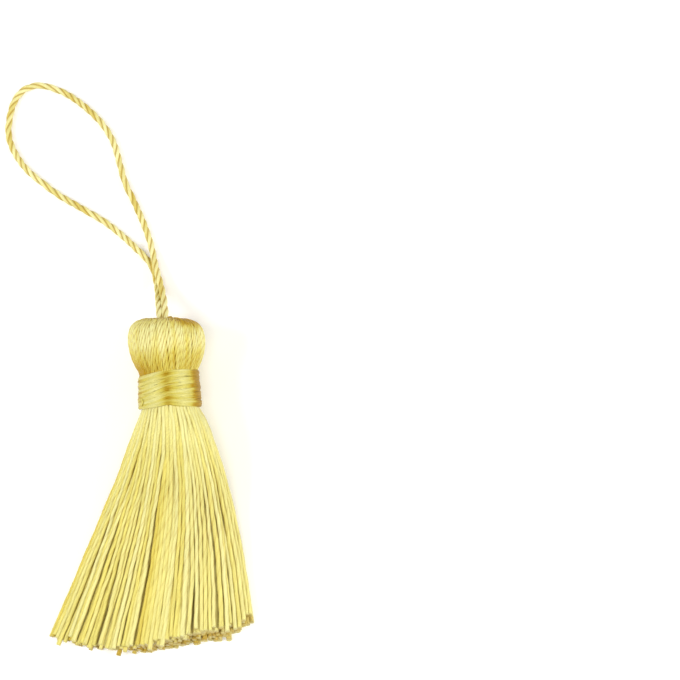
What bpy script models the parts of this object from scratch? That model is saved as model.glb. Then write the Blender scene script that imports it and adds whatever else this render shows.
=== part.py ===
# A silk tassel lying on a table: yarn folded over a cord into a knob, the neck bound with floss, the
# skirt fanned out and lying down to its cut ends, and the hanging cord laid out in a loop.
# Metres, +Z up. The skirt points to -Y, the cord to +Y, and the table is z = 0.
import math

import bmesh
import bpy
import numpy as np
from mathutils import Matrix, Vector

MM = 0.001
SEED = 11

# The head stands on this line: where the neck ends, and how the line leans in plan and rises.
NECK_END = (5.49, 20.24, 8.94)
HEAD_LEAN_DEG = 3.3
HEAD_RISE_DEG = 2.14

# Turned profile of the knob, crown first: radius and distance above the neck end.
KNOB_PROFILE = (
    (0.00, 22.65),
    (2.10, 22.70),
    (3.00, 23.50),
    (5.20, 23.75),
    (7.40, 23.15),
    (9.00, 21.95),
    (9.80, 20.20),
    (9.98, 17.80),
    (9.82, 15.00),
    (9.20, 12.45),
    (8.35, 10.55),
    (7.75, 9.75),
    (0.00, 9.75),
)
HEAD_YARNS = 60          # yarns counted round the knob, one rib each
HEAD_RIB = 0.12          # how far a rib stands over the mean surface
RIB_INSIDE = 1.6         # the ribs rise from nothing at this radius
RIB_RISE = 3.0           # and reach their full height this much further out
CROWN_ABOVE = 22.0       # height over the neck end where the crown begins
DIMPLE_RADIUS = 2.4
DIMPLE_REACH = 6.8       # within this radius the crown is drawn towards the cord
DIMPLE_SHIFT = -0.95     # sideways, towards -X

# The neck under the binding, and the collar where the yarns come out from it.
NECK_PROFILE = (
    (0.00, 11.00),
    (7.00, 11.00),
    (7.00, -0.35),
    (7.85, -0.42),
    (7.85, -1.20),
    (7.70, -1.50),
    (0.00, -1.50),
)
NECK_STEPS = 36

# The binding: a wound band on the neck.
BAND_LENGTH = 9.40
BAND_INSIDE = 7.32
BAND_TURNS = 14
BAND_TOP_RADIUS = 8.08
BAND_LOW_RADIUS = 8.36
BAND_GROOVE = 0.17
BAND_EDGE = 0.20
BAND_STEPS = 44

# The skirt: strands set out in even rows on the collar.
STRAND_SPACING = 1.00
ROOT_RADIUS = 7.20
ROOT_START = 1.00        # inside the collar, whose face is at COLLAR_FACE
COLLAR_FACE = 1.50
STRAND_HALF = 0.36       # half of a strand's thickness
STRAND_END = 0.37
STATIONS = (ROOT_START, 10.0, 22.0, 38.0)
SETTLE_FROM = 4.0        # the skirt starts to flatten here
FLOOR_FROM = 38.0        # past this distance the lowest strands lie on the table
LAYER_HEIGHT = 0.94      # from a strand to the one that lies on it at the cut ends
SPREAD_RATE = 0.330      # how much wider the skirt gets for each unit of length
SPREAD_START = 1.30      # the quick opening just below the binding
SPREAD_REACH = 3.0
SKIRT_MIDDLE = 5.58      # where the middle line of the skirt starts
CURVE_OUT = 0.045        # it first leans to +X, then back
CURVE_BACK = 0.00225
CUT_LENGTH = 63.7        # distance of the longest cut end below the neck end
CUT_LEFT = (1.4, 2.4)    # how much shorter to the left: by the square and the eighth power
CUT_RIGHT = (3.2, 3.8)   # and to the right: in proportion and by the fourth power
CUT_SLANT = 3.0          # the upper strands on the right are cut shorter
CUT_UNEVEN = 0.55
LEAN_FADE = 15.0         # the strands leave the lean of the head behind over this distance
# Sideways waves that gather the strands: turns across and up the skirt, turn for each station, share.
WAVES = (
    (9.0, 0.0, 2.1, 0.55),
    (5.0, 4.0, 1.3, 0.385),
)
WAVE_GROWTH = 1.5        # they grow with this power of the distance
SCATTER = 0.16

# The cord: three plies laid to the right.
CORD_RADIUS = 0.825
CORD_VALLEY = 0.50
LOBE_HALF_ANGLE = 0.42
CORD_LAY = 8.25
CORD_STEPS = 176
PLIES = 3
# Route of the hanging cord: plan position and height of its middle.
CORD_ROUTE = (
    (2.25, 43.95, 9.60),
    (2.00, 45.90, 7.90),
    (1.50, 49.00, 4.60),
    (1.00, 52.50, 2.10),
    (0.20, 56.20, 0.95),
    (-1.20, 59.30, 0.85),
    (-4.30, 62.70, 0.85),
    (-9.20, 67.20, 0.85),
    (-13.80, 70.70, 0.85),
    (-19.90, 74.30, 0.85),
    (-25.60, 77.60, 0.85),
    (-30.10, 80.90, 0.85),
    (-34.60, 84.70, 0.85),
    (-37.90, 89.20, 0.85),
    (-39.70, 93.90, 0.85),
    (-39.60, 98.60, 0.85),
    (-38.30, 103.60, 0.85),
    (-35.60, 106.80, 0.85),
    (-31.70, 107.90, 0.85),
    (-27.70, 107.00, 0.85),
    (-23.40, 105.00, 0.85),
    (-18.90, 101.70, 0.85),
    (-14.60, 97.40, 0.85),
    (-11.40, 92.20, 0.85),
    (-9.60, 86.20, 0.85),
    (-8.00, 80.90, 0.85),
    (-5.40, 75.50, 0.85),
    (-3.00, 70.00, 0.85),
    (-1.20, 65.00, 0.90),
    (-0.10, 60.60, 1.60),
    (0.95, 56.60, 2.62),
    (2.10, 52.80, 3.40),
    (3.25, 48.90, 5.60),
    (3.85, 45.90, 8.20),
    (4.10, 43.95, 9.75),
)

# Base colour and roughness of each piece's material.
YARN_LOOK = ((0.82, 0.70, 0.27, 1.0), 0.42)
BAND_LOOK = ((0.80, 0.62, 0.16, 1.0), 0.34)
CORD_LOOK = ((0.86, 0.75, 0.30, 1.0), 0.42)


def clear_scene():
    for item in list(bpy.data.objects):
        bpy.data.objects.remove(item, do_unlink=True)


def new_collection(name, guide=False):
    group = bpy.data.collections.new(name)
    bpy.context.scene.collection.children.link(group)
    group.hide_render = guide
    return group


def add_object(name, data, group, guide=False):
    item = bpy.data.objects.new(name, data)
    group.objects.link(item)
    if guide:
        item.hide_render = True
        item.display_type = "WIRE"
    return item


def material(name, look):
    colour, rough = look
    finish = bpy.data.materials.new(name)
    finish.use_nodes = True
    shader = finish.node_tree.nodes["Principled BSDF"]
    shader.inputs["Base Color"].default_value = colour
    shader.inputs["Roughness"].default_value = rough
    shader.inputs["Metallic"].default_value = 0.0
    finish.diffuse_color = colour
    return finish


def smooth(t):
    t = np.clip(t, 0.0, 1.0)
    return t * t * (3.0 - 2.0 * t)


def head_frame():
    """Turns the local axis +Z into the line of the head: leaning in plan and rising to the crown."""
    lean = math.radians(HEAD_LEAN_DEG)
    rise = math.radians(HEAD_RISE_DEG)
    across = Vector((math.cos(lean), math.sin(lean), 0.0))
    along = Vector((-math.sin(lean) * math.cos(rise), math.cos(lean) * math.cos(rise), math.sin(rise)))
    under = along.cross(across)
    turn = Matrix((across, under, along)).transposed().to_4x4()
    return Matrix.Translation(Vector(NECK_END) * MM) @ turn


def taken_mesh(item):
    """The finished mesh of an object with its modifiers, caps welded and faces outward."""
    graph = bpy.context.evaluated_depsgraph_get()
    mesh = bpy.data.meshes.new_from_object(item.evaluated_get(graph))
    mesh.transform(item.matrix_world)
    edit = bmesh.new()
    edit.from_mesh(mesh)
    bmesh.ops.remove_doubles(edit, verts=edit.verts, dist=1e-6)
    bmesh.ops.recalc_face_normals(edit, faces=edit.faces)
    edit.to_mesh(mesh)
    edit.free()
    return mesh


def turned(name, profile, steps, group, guide=False):
    """A profile of radius and height, turned round the local Z axis."""
    mesh = bpy.data.meshes.new(name)
    points = [(radius * MM, 0.0, height * MM) for radius, height in profile]
    closed = profile[0][0] > 0.0
    edges = [(k, k + 1) for k in range(len(points) - 1)]
    if closed:
        edges.append((len(points) - 1, 0))
    mesh.from_pydata(points, edges, [])
    item = add_object(name, mesh, group, guide)
    screw = item.modifiers.new("turn", "SCREW")
    screw.axis = "Z"
    screw.steps = steps
    screw.render_steps = steps
    screw.use_merge_vertices = True
    screw.merge_threshold = 1e-5
    finished = taken_mesh(item)
    item.modifiers.clear()
    item.data = finished
    return item


def swept(name, routes, section, group, guide=False):
    """Tubes along the routes: each is a list of point, thickness factor and turn of the section."""
    outline = bpy.data.curves.new(name + "_section", "CURVE")
    outline.dimensions = "2D"
    loop = outline.splines.new("POLY")
    loop.points.add(len(section) - 1)
    loop.use_cyclic_u = True
    for point, (x, y) in zip(loop.points, section):
        point.co = (x * MM, y * MM, 0.0, 1.0)
    outline_item = add_object(name + "_section", outline, group, True)
    curve = bpy.data.curves.new(name, "CURVE")
    curve.dimensions = "3D"
    curve.twist_mode = "Z_UP"
    curve.bevel_mode = "OBJECT"
    curve.bevel_object = outline_item
    curve.use_fill_caps = True
    for points, sizes, turns in routes:
        spline = curve.splines.new("POLY")
        spline.points.add(len(points) - 1)
        for place, (x, y, z), size, turn in zip(spline.points, points, sizes, turns):
            place.co = (x * MM, y * MM, z * MM, 1.0)
            place.radius = size
            place.tilt = turn
    item = add_object(name + "_path", curve, group, guide)
    finished = taken_mesh(item)
    bpy.data.objects.remove(item)
    return add_object(name, finished, group, guide)


def joined(base, tool):
    """The base with the tool added to it as one solid."""
    union = base.modifiers.new("join", "BOOLEAN")
    union.operation = "UNION"
    union.solver = "EXACT"
    union.object = tool
    finished = taken_mesh(base)
    base.modifiers.clear()
    base.data = finished


def make_knob(group, frame):
    """The knob: a turned form with one rib for each yarn, drawn in at the cord, flat below."""
    knob = turned("tassel_yarn", KNOB_PROFILE, HEAD_YARNS * 2, group)
    mesh = knob.data
    spots = np.empty(len(mesh.vertices) * 3)
    mesh.vertices.foreach_get("co", spots)
    spots = spots.reshape(-1, 3) / MM
    radius = np.hypot(spots[:, 0], spots[:, 1])
    angle = np.arctan2(spots[:, 1], spots[:, 0])
    fade = smooth((radius - RIB_INSIDE) / RIB_RISE)
    rib = 1.0 + HEAD_RIB * fade * np.cos(HEAD_YARNS * angle) / np.maximum(radius, 1.0)
    spots[:, :2] *= rib[:, None]
    drawn = 1.0 - smooth((radius - DIMPLE_RADIUS) / (DIMPLE_REACH - DIMPLE_RADIUS))
    crown = (spots[:, 2] > CROWN_ABOVE) * drawn
    spots[:, 0] += DIMPLE_SHIFT * crown
    turn = np.array(frame)
    spots = spots * MM @ turn[:3, :3].T + turn[:3, 3]
    spots[:, 2] = np.maximum(spots[:, 2], 0.0)
    mesh.vertices.foreach_set("co", spots.ravel())
    mesh.update()
    return knob


def band_profile():
    """Outer side from the top edge down, one ridge for each turn, then the plain inside."""
    rows = [(BAND_INSIDE, BAND_LENGTH)]
    half_turns = BAND_TURNS * 2
    for k in range(half_turns + 1):
        height = BAND_LENGTH * (1.0 - k / half_turns)
        swell = smooth(1.0 - height / BAND_LENGTH)
        radius = BAND_TOP_RADIUS + (BAND_LOW_RADIUS - BAND_TOP_RADIUS) * swell
        if k % 2 == 0:
            radius -= BAND_GROOVE
        if k in (0, half_turns):
            radius -= BAND_EDGE
        rows.append((float(radius), height))
    rows.append((BAND_INSIDE, 0.0))
    return rows


def strand_layout():
    """Rows of strands on the collar, as fractions of its radius: across, up, and how many lie below."""
    spots = []
    columns = {}
    row_gap = STRAND_SPACING * math.sqrt(3.0) / 2.0
    rows = int(ROOT_RADIUS / row_gap) + 1
    places = int(ROOT_RADIUS / STRAND_SPACING) + 1
    for row in range(-rows, rows + 1):
        shift = 0.5 * STRAND_SPACING * (row % 2)
        for place in range(-places, places + 1):
            across = place * STRAND_SPACING + shift
            up = row * row_gap
            if math.hypot(across, up) <= ROOT_RADIUS:
                below = columns.get(across, 0)
                columns[across] = below + 1
                spots.append((across / ROOT_RADIUS, up / ROOT_RADIUS, below))
    return np.array(spots)


def cut_distance(across, up):
    """How far below the neck end a strand is cut, from its place in the skirt."""
    left = CUT_LEFT[0] * across ** 2 + CUT_LEFT[1] * across ** 8
    right = CUT_RIGHT[0] * across + CUT_RIGHT[1] * across ** 4
    drop = np.where(across < 0.0, left, right)
    slant = CUT_SLANT * (up + 1.0) / 2.0 * smooth((across + 0.2) / 0.8)
    return CUT_LENGTH - drop - slant


def skirt_point(across, up, below, distance):
    """Where a strand's middle is at a distance below the neck end, before waves."""
    past = np.maximum(distance - COLLAR_FACE, 0.0)
    half = ROOT_RADIUS + SPREAD_RATE * past + SPREAD_START * (1.0 - np.exp(-past / SPREAD_REACH))
    middle = SKIRT_MIDDLE + CURVE_OUT * past - CURVE_BACK * past ** 2
    settle = smooth((distance - SETTLE_FROM) / (FLOOR_FROM - SETTLE_FROM))
    lean = math.sin(math.radians(HEAD_LEAN_DEG))
    x = middle + half * across
    y = NECK_END[1] - distance + ROOT_RADIUS * across * lean * (1.0 - smooth(past / LEAN_FADE))
    root_z = NECK_END[2] - math.tan(math.radians(HEAD_RISE_DEG)) * distance + ROOT_RADIUS * up
    heap_z = STRAND_END + LAYER_HEIGHT * below
    z = root_z * (1.0 - settle) + heap_z * settle
    return x, y, z


def make_skirt(group):
    """Every strand is a four-sided tube from inside the collar to its cut end."""
    chance = np.random.default_rng(SEED)
    across, up, below = strand_layout().T
    ends = cut_distance(across, up) + CUT_UNEVEN * chance.uniform(-1.0, 1.0, len(across))
    scatter = SCATTER * chance.uniform(-1.0, 1.0, len(across))
    columns = []
    for k in range(len(STATIONS) + 1):
        distance = ends if k == len(STATIONS) else np.full(len(across), STATIONS[k])
        x, y, z = skirt_point(across, up, below, distance)
        run = (np.maximum(distance - COLLAR_FACE, 0.0) / CUT_LENGTH) ** WAVE_GROWTH
        wave = sum(share * np.sin(a * across + b * up + c * k) for a, b, c, share in WAVES)
        x = x + run * (wave + scatter)
        columns.append(np.stack((x, y, z), axis=1))
    paths = np.stack(columns, axis=1)
    sizes = np.linspace(STRAND_HALF, STRAND_END, paths.shape[1])
    section = [(1.0, 1.0), (-1.0, 1.0), (-1.0, -1.0), (1.0, -1.0)]
    still = [0.0] * paths.shape[1]
    routes = [(path.tolist(), sizes.tolist(), still) for path in paths]
    return swept("skirt_strands", routes, section, group, True)


def smooth_route(points, steps):
    """Evenly spaced points of a smooth curve that passes through every given point."""
    points = np.array(points)
    ends = np.vstack((2.0 * points[0] - points[1], points, 2.0 * points[-1] - points[-2]))
    fine = []
    for k in range(len(points) - 1):
        a, b, c, d = ends[k:k + 4]
        t = np.linspace(0.0, 1.0, 40, endpoint=False)[:, None]
        slope_in = (c - a) / 2.0
        slope_out = (d - b) / 2.0
        fine.append(
            b * (2.0 * t ** 3 - 3.0 * t ** 2 + 1.0)
            + slope_in * (t ** 3 - 2.0 * t ** 2 + t)
            + c * (3.0 * t ** 2 - 2.0 * t ** 3)
            + slope_out * (t ** 3 - t ** 2)
        )
    fine = np.vstack(fine + [points[-1:]])
    run = np.concatenate(([0.0], np.cumsum(np.linalg.norm(np.diff(fine, axis=0), axis=1))))
    at = np.linspace(0.0, run[-1], steps + 1)
    return np.stack([np.interp(at, run, fine[:, k]) for k in range(3)], axis=1), at


def make_cord(group, guides):
    """The cord: a section with one lobe for each ply, turning evenly along the route."""
    middle, run = smooth_route(CORD_ROUTE, CORD_STEPS)
    section = []
    for ply in range(PLIES):
        lobe = 2.0 * math.pi * ply / PLIES
        for turn, radius in (
            (-LOBE_HALF_ANGLE, CORD_RADIUS),
            (LOBE_HALF_ANGLE, CORD_RADIUS),
            (math.pi / PLIES, CORD_VALLEY),
        ):
            section.append((radius * math.cos(lobe + turn), radius * math.sin(lobe + turn)))
    turns = (2.0 * math.pi * run / CORD_LAY).tolist()
    sizes = [1.0] * len(turns)
    cord = swept("hanging_cord", [(middle.tolist(), sizes, turns)], section, guides, True)
    guides.objects.unlink(cord)
    group.objects.link(cord)
    cord.hide_render = False
    cord.display_type = "TEXTURED"
    return cord


def build():
    clear_scene()
    parts = new_collection("silk_tassel")
    guides = new_collection("guides", True)
    frame = head_frame()

    yarn = make_knob(parts, frame)
    neck = turned("neck_core", NECK_PROFILE, NECK_STEPS, guides, True)
    neck.data.transform(frame)
    joined(yarn, neck)
    strands = make_skirt(guides)
    joined(yarn, strands)
    yarn.data.materials.append(material("silk_yarn", YARN_LOOK))

    band = turned("neck_binding", band_profile(), BAND_STEPS, parts)
    band.data.transform(frame)
    band.data.materials.append(material("binding_floss", BAND_LOOK))

    cord = make_cord(parts, guides)
    cord.data.materials.append(material("twisted_cord", CORD_LOOK))


build()
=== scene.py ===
import math

import bpy
import numpy as np
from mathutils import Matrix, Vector


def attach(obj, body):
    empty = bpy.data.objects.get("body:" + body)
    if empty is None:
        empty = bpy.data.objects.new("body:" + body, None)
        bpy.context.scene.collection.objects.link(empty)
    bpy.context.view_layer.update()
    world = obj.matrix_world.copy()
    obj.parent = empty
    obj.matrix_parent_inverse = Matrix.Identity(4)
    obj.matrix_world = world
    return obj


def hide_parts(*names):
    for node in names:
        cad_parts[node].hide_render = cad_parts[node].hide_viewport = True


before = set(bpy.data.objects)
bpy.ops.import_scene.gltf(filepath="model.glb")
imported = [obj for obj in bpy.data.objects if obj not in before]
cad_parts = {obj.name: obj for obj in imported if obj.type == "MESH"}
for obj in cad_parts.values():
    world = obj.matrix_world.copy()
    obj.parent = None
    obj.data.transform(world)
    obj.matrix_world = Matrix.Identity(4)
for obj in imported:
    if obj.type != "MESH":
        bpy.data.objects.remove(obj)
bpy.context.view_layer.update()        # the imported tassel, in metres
mm = 0.001
print("tassel: frame loaded,", len(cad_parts), "nodes")


# small helpers

def smooth(t):
    # 3t^2 - 2t^3, held between 0 and 1
    t = np.clip(t, 0.0, 1.0)
    return t * t * (3.0 - 2.0 * t)


def waves(at, rows):
    # the sum of size * sin(at / period + start) over the rows (size, period, start)
    return sum(size * np.sin(at / period + start) for size, period, start in rows)


def unit(vectors):
    # each vector over its own length
    return vectors / np.maximum(np.linalg.norm(vectors, axis=-1, keepdims=True), 1e-12)


def throughPoints(points, spots):
    # Catmull-Rom: at spot k + t the cubic that leaves point k at half the step from k-1 to k+1
    # points is (stations, ...), spots counts in stations
    points = np.asarray(points, float)
    ends = np.concatenate((2 * points[:1] - points[1:2], points, 2 * points[-1:] - points[-2:-1]))
    k = np.clip(np.floor(spots).astype(int), 0, len(points) - 2)
    t = np.asarray(spots, float) - k
    t = t.reshape(t.shape + (1,) * (points.ndim - 1))
    a, b, c, d = ends[k], ends[k + 1], ends[k + 2], ends[k + 3]
    squared = 2 * a - 5 * b + 4 * c - d
    cubed = 3 * b - a - 3 * c + d
    return 0.5 * (2 * b + (c - a) * t + squared * t ** 2 + cubed * t ** 3)


def alongStations(values, stations, s):
    # cubic through the values at uneven stations; the slope at each one is the mean of the slopes
    # on both sides, the nearer side counting for more
    values, stations, s = np.asarray(values, float), np.asarray(stations, float), np.asarray(s, float)
    step = np.diff(stations).reshape((-1,) + (1,) * (values.ndim - 1))
    rise = np.diff(values, axis=0) / step
    inner = (rise[:-1] * step[1:] + rise[1:] * step[:-1]) / (step[:-1] + step[1:])
    slope = np.concatenate((rise[:1], inner, rise[-1:]))
    k = np.clip(np.searchsorted(stations, s, side="right") - 1, 0, len(stations) - 2)
    t = np.clip((s - stations[k]) / (stations[k + 1] - stations[k]), 0, 1)
    t = t.reshape(t.shape + (1,) * (values.ndim - 1))
    a, b, m, n = values[k], values[k + 1], slope[k] * step[k], slope[k + 1] * step[k]
    return a + m * t + (3 * (b - a) - 2 * m - n) * t ** 2 + (2 * (a - b) + m + n) * t ** 3


def evenly(points, count, fine=4000):
    # the smooth curve through the points, read at even steps of its own length
    curve = throughPoints(points, np.linspace(0, len(points) - 1, fine))
    run = np.concatenate(([0.0], np.cumsum(np.linalg.norm(np.diff(curve, axis=0), axis=1))))
    at = np.linspace(0.0, run[-1], count)
    return np.stack([np.interp(at, run, curve[:, k]) for k in range(curve.shape[1])], axis=1), at


def makeMesh(name, verts, faces, attributes=None):
    # verts (n, 3) in millimetres, faces (m, 4); a face with the same last two corners is a triangle
    mesh = bpy.data.meshes.new(name)
    three = faces[:, 2] == faces[:, 3]
    sizes = np.where(three, 3, 4)
    corners = faces[np.arange(4)[None, :] < sizes[:, None]]
    mesh.vertices.add(len(verts))
    mesh.vertices.foreach_set("co", (verts * mm).ravel())
    mesh.loops.add(len(corners))
    mesh.loops.foreach_set("vertex_index", corners)
    mesh.polygons.add(len(faces))
    mesh.polygons.foreach_set("loop_start", np.concatenate(([0], np.cumsum(sizes)[:-1])))
    mesh.update(calc_edges=True)
    mesh.polygons.foreach_set("use_smooth", ~three)
    for key, values in (attributes or {}).items():
        if values.ndim == 2:
            mesh.attributes.new(key, "FLOAT_VECTOR", "POINT").data.foreach_set("vector", values.ravel())
        else:
            mesh.attributes.new(key, "FLOAT", "POINT").data.foreach_set("value", values)
    mesh.validate()
    piece = bpy.data.objects.new(name, mesh)
    bpy.context.scene.collection.objects.link(piece)
    return piece


def flattened(piece, floor=0.02):
    # nothing of a piece is under the table: z = max(z, floor)
    count = len(piece.data.vertices)
    spots = np.empty(count * 3)
    piece.data.vertices.foreach_get("co", spots)
    spots[2::3] = np.maximum(spots[2::3], floor * mm)
    piece.data.vertices.foreach_set("co", spots)
    piece.data.update()


def runLength(paths):
    # length from the start of each path to each of its points
    steps = np.linalg.norm(np.diff(paths, axis=1), axis=2)
    return np.concatenate((np.zeros((len(paths), 1)), np.cumsum(steps, axis=1)), axis=1)


flankFrom = 0.82        # cosine of the angle from the way out of the bundle at which the painted flank shade starts
flankOver = 1.05        # how much that cosine falls until the painted flank shade is full


def twistedYarns(name, paths, up, wide, high, plies, lay, phase, tone, corners=8, valley=0.72,
                 slant=None, cutRough=0.0, chance=None, toward=None, sunkShade=None, shadeStrength=None):
    # Each yarn follows its path. Its section is r = valley + (1 - valley) |cos(plies a / 2)| ^ 0.8, which
    # makes the crests broad, and turns once in every lay, to the right: the plies climb like a right-hand
    # screw. The last ring is cut on a slant and a little ragged, and both ends are closed.
    # phase (yarns, rings or 1) turns the section further, tone is given along each yarn or also around it.
    # the flank shade is painted shade on the sides: 0 where the surface looks the way toward does, starting
    # at 35 degrees from it and 1 past the sides; hollow is 1 in the valleys, where the material paints groove
    # shade; the shade strength below 1 makes both weaker, and the sunk shade, painted shade for yarns deep in
    # the bundle, adds to the flank shade
    count, rings = paths.shape[:2]
    along = unit(np.gradient(paths, axis=1))
    side = unit(np.cross(along, up))
    over = np.cross(side, along)
    run = runLength(paths)
    a = 2 * np.pi * np.arange(corners) / corners
    section = valley + (1 - valley) * np.abs(np.cos(plies * a / 2)) ** 0.8
    turn = a[None, None, :] - 2 * np.pi * run[:, :, None] / lay - phase[:, :, None]
    x = wide[:, :, None] * section * np.cos(turn)
    y = high[:, :, None] * section * np.sin(turn)
    verts = paths[:, :, None, :] + x[..., None] * side[:, :, None, :] + y[..., None] * over[:, :, None, :]
    if slant is not None:
        shift = -slant[:, None] * y[:, -1, :]
        if chance is not None:
            shift = shift + cutRough * chance.uniform(-1, 1, shift.shape)
        verts[:, -1] += shift[..., None] * along[:, -1, None, :]
    fibre = np.stack((x, y, np.broadcast_to(run[:, :, None], x.shape)), axis=-1)
    hollow = np.broadcast_to(1.0 - (section - valley) / (1 - valley), x.shape)
    if toward is None:
        toward = over
    facing = (x / wide[:, :, None] * (side * toward).sum(axis=2)[:, :, None]
              + y / high[:, :, None] * (over * toward).sum(axis=2)[:, :, None])
    flankShade = smooth((flankFrom - facing) / flankOver)
    if shadeStrength is not None:
        flankShade = flankShade * shadeStrength[:, :, None]
        hollow = hollow * shadeStrength[:, :, None]
    if sunkShade is not None:
        flankShade = np.minimum(flankShade + sunkShade[:, :, None], 1.0)
    tones = np.broadcast_to(tone if tone.ndim == 3 else tone[:, :, None], x.shape)
    tips = np.stack((paths[:, 0], verts[:, -1].mean(axis=1)), axis=1)
    tipFibre = np.stack((fibre[:, 0].mean(axis=1), fibre[:, -1].mean(axis=1)), axis=1)
    base = (np.arange(count) * (rings * corners + 2))[:, None, None]
    ring = np.arange(rings - 1)[None, :, None] * corners
    j = np.arange(corners)[None, None, :]
    after = (j + 1) % corners
    quads = np.stack(np.broadcast_arrays(base + ring + j, base + ring + corners + j,
                                         base + ring + corners + after, base + ring + after), axis=-1)
    first = base + rings * corners
    last = first + 1
    endRing = (rings - 1) * corners
    startFan = np.stack(np.broadcast_arrays(first, base + j, base + after, base + after), axis=-1)
    endFan = np.stack(np.broadcast_arrays(last, base + endRing + after, base + endRing + j,
                                          base + endRing + j), axis=-1)
    faces = np.concatenate((quads.reshape(-1, 4), startFan.reshape(-1, 4), endFan.reshape(-1, 4)))

    def withTips(values, tipValues):
        return np.concatenate((values.reshape(count, rings * corners, -1), tipValues), axis=1)

    flatVerts = withTips(verts, tips).reshape(-1, 3)
    # the middles of the closed ends turn partly to the shade colour
    attributes = {
        "fibre": withTips(fibre, tipFibre).reshape(-1, 3),
        "hollow": withTips(hollow[..., None], np.full((count, 2, 1), 1.0)).ravel(),
        "flankShade": withTips(flankShade[..., None], np.full((count, 2, 1), 0.2)).ravel(),
        "tone": withTips(tones[..., None], tones[:, [0, -1]].mean(axis=2)[..., None]).ravel(),
    }
    return makeMesh(name, flatVerts, faces, attributes)


# camera: steeply down on the tassel, which lies in the left part of the view

view = {
    "aim": (49.78, 38.72, 0.0),
    "elevation": 85.0,
    "distance": 420.0,
    "pixels": 680, "pixel": 0.2677,     # width of the view in pixels, and of one of them at the aim, in mm
    "sensor": 36.0,
}
elevation = math.radians(view["elevation"])
back = Vector((0.0, -math.cos(elevation), math.sin(elevation)))
eye = bpy.data.cameras.new("camera")
eye.sensor_width = view["sensor"]
eye.lens = view["sensor"] * view["distance"] / (view["pixels"] * view["pixel"])
camera = bpy.data.objects.new("camera", eye)
camera.location = (Vector(view["aim"]) + back * view["distance"]) * mm
camera.rotation_mode = "QUATERNION"
camera.rotation_quaternion = (-back).to_track_quat("-Z", "Y")
eye.clip_start = 0.01
eye.clip_end = 10.0
bpy.context.scene.collection.objects.link(camera)
bpy.context.scene.camera = camera


# materials: rayon floss, dyed lemon gold

def linear(code, alpha=1.0):
    # sRGB hex to linear light: c / 12.92 below 0.04045, else ((c + 0.055) / 1.055) ^ 2.4
    parts = [int(code[k:k + 2], 16) / 255 for k in (1, 3, 5)]
    return [c / 12.92 if c <= 0.04045 else ((c + 0.055) / 1.055) ** 2.4 for c in parts] + [alpha]


def addNode(tree, kind, settings=None, links=None):
    # settings: socket or property to value; links: socket to the output that feeds it
    node = tree.nodes.new(kind)
    for key, value in (settings or {}).items():
        if isinstance(key, int) or key in node.inputs:
            node.inputs[key].default_value = value
        else:
            setattr(node, key, value)
    for key, source in (links or {}).items():
        tree.links.new(source, node.inputs[key])
    return node


def rampColours(node, stops):
    # stops: (place, sRGB hex)
    while len(node.color_ramp.elements) > 1:
        node.color_ramp.elements.remove(node.color_ramp.elements[-1])
    for k, (place, code) in enumerate(stops):
        stop = node.color_ramp.elements[0] if k == 0 else node.color_ramp.elements.new(place)
        stop.position = place
        stop.color = linear(code)


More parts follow.
